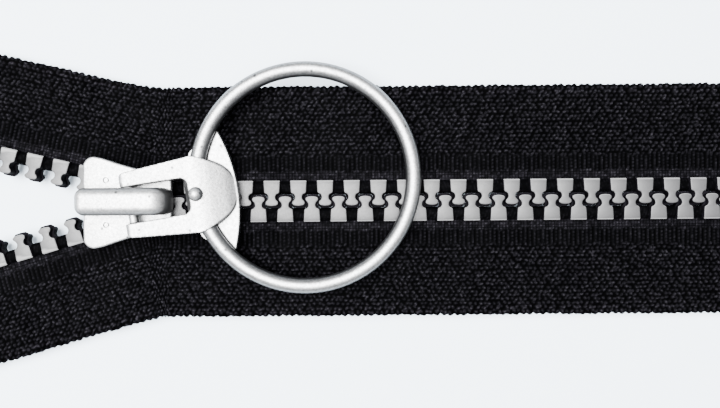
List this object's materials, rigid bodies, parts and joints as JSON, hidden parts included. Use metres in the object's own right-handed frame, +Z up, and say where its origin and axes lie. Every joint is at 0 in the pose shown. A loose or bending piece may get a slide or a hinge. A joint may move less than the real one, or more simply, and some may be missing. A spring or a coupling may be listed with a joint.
{
  "type": "zipper",
  "caption": "Separating zipper with moulded teeth, half open: two woven tapes, auto-lock slider with a large ring pull, top stops, pins and retainer box.",
  "frame": {"origin": "middle of the slider's flat bottom face, on the line between the two rows of teeth", "axes": "+X along the closed chain towards the retainer box, +Y towards the upper tape, +Z up out of the slider's crown"},
  "size_m": [0.1577, 0.0628, 0.0081],
  "materials": {
    "tape": "black woven polyester",
    "acetal": "matte light grey acetal",
    "zinc": "matte silver-white coated zinc",
    "wire": "satin silver",
    "steel": "plain spring steel",
    "film": "clear reinforcing film"
  },
  "bodies": {
    "closed_chain": {"tape_upper_closed": "tape", "tape_lower_closed": "tape", "teeth_upper_closed": "acetal", "teeth_lower_closed": "acetal", "box_pin": "acetal", "insertion_pin": "acetal", "retainer_box": "acetal", "film_upper": "film", "film_lower": "film"},
    "slider": {"slider_body": "zinc", "crown": "zinc", "lever_pin": "steel", "lock_spring": "steel"},
    "lock": {"lock_lever": "steel"},
    "pull": {"pull_plate": "zinc"},
    "ring": {"pull_ring": "wire"},
    "upper_mid": {"tape_upper_mid": "tape", "teeth_upper_mid": "acetal"},
    "upper_top": {"tape_upper_top": "tape", "teeth_upper_top": "acetal", "top_stop_upper": "acetal"},
    "lower_mid": {"tape_lower_mid": "tape", "teeth_lower_mid": "acetal"},
    "lower_top": {"tape_lower_top": "tape", "teeth_lower_top": "acetal", "top_stop_lower": "acetal"}
  },
  "joints": [
    {"name": "slider_travel", "type": "slide", "parent": "closed_chain", "child": "slider", "axis": [1, 0, 0], "range_m": [-0.0304, 0], "deforming": ["tape_upper_mid", "teeth_upper_mid", "tape_upper_top", "teeth_upper_top", "tape_lower_mid", "teeth_lower_mid", "tape_lower_top", "teeth_lower_top"]},
    {"name": "upper_close", "type": "hinge", "parent": "closed_chain", "child": "upper_mid", "pos_m": [0.0036, 0.00225, 0.0022], "axis": [0, 0, 1], "range_deg": [0, 13.2]},
    {"name": "upper_spread", "type": "hinge", "parent": "upper_mid", "child": "upper_top", "pos_m": [-0.026, 0.00919, 0.0022], "axis": [0, 0, 1], "range_deg": [-13.2, 0]},
    {"name": "lower_close", "type": "hinge", "parent": "closed_chain", "child": "lower_mid", "pos_m": [0.0026, -0.00225, 0.0022], "axis": [0, 0, 1], "range_deg": [-16, 0]},
    {"name": "lower_spread", "type": "hinge", "parent": "lower_mid", "child": "lower_top", "pos_m": [-0.02662, -0.01063, 0.0022], "axis": [0, 0, 1], "range_deg": [0, 16]},
    {"name": "pull_flip", "type": "hinge", "parent": "slider", "child": "pull", "pos_m": [0.00112, -0.00037, 0.0057], "axis": [0.0758, -0.9971, 0], "range_deg": [0, 160]},
    {"name": "ring_turn", "type": "hinge", "parent": "pull", "child": "ring", "pos_m": [0.02514, 0.00331, 0.00519], "axis": [0.0207, 0.0032, 0.9998], "continuous": true},
    {"name": "lock_lift", "type": "hinge", "parent": "slider", "child": "lock", "pos_m": [-0.0046, 0.00007, 0.00575], "axis": [0, -1, 0], "range_deg": [0, 3.2], "stiffness_Nm_per_rad": 0.0004, "springref_deg": -2.86}
  ],
  "couplings": [
    {"joint": "upper_close", "follows": "slider_travel", "rad_per_m": -7.578},
    {"joint": "upper_spread", "follows": "slider_travel", "rad_per_m": 7.578},
    {"joint": "lower_close", "follows": "slider_travel", "rad_per_m": 9.185},
    {"joint": "lower_spread", "follows": "slider_travel", "rad_per_m": -9.185}
  ]
}
